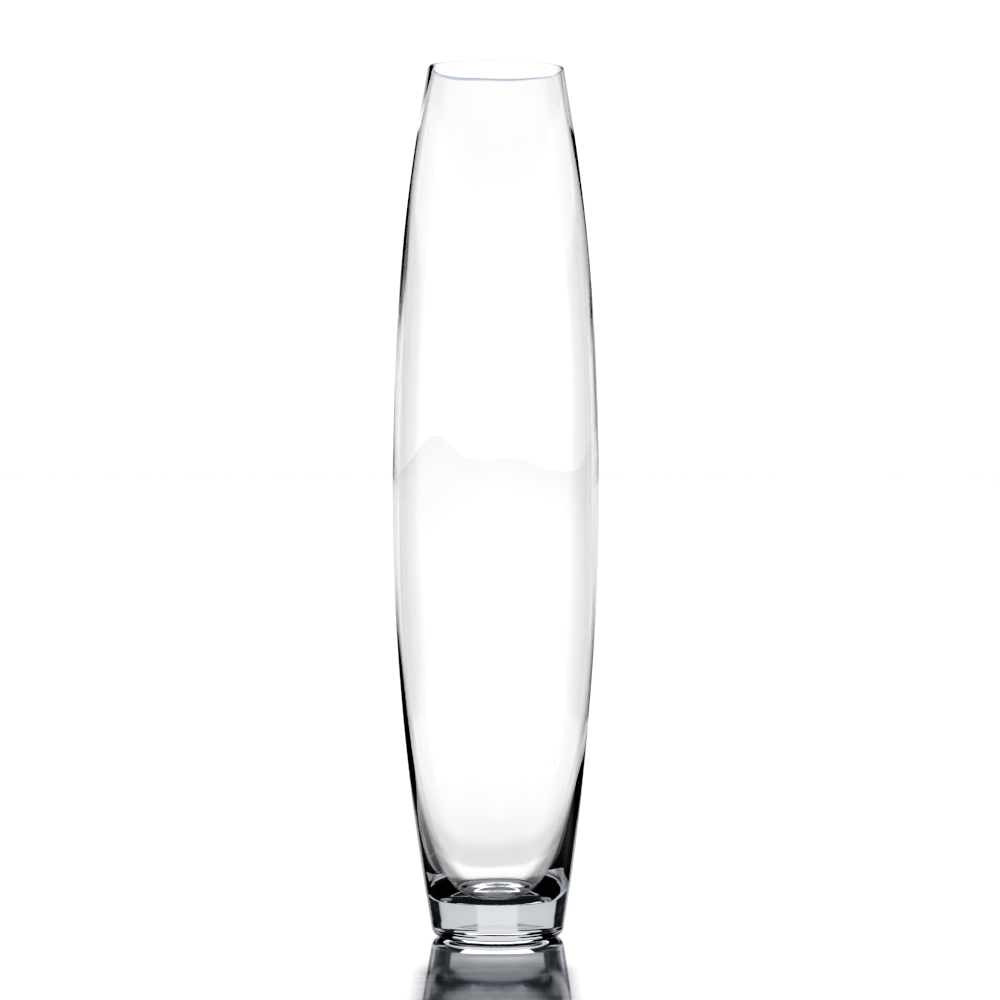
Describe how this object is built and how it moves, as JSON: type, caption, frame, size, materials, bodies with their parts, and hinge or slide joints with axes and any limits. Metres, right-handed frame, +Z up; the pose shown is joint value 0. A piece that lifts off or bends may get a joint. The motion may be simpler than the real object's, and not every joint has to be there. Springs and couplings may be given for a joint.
{
  "type": "flower vase",
  "caption": "Tall barrel-shaped clear glass flower vase with an open mouth, thin wall and heavy solid base.",
  "frame": {"origin": "on the vase's axis, in the plane that it stands on", "axes": "+Z up along the vase's axis, towards the open mouth; the vase is round, so +X and +Y are any two level directions, with -Y taken as the front"},
  "size_m": [0.1456, 0.1456, 0.61],
  "materials": {
    "clear_glass": "clear, fire-polished, smooth"
  },
  "bodies": {
    "root": {"glass_vase": "clear_glass"}
  },
  "joints": []
}
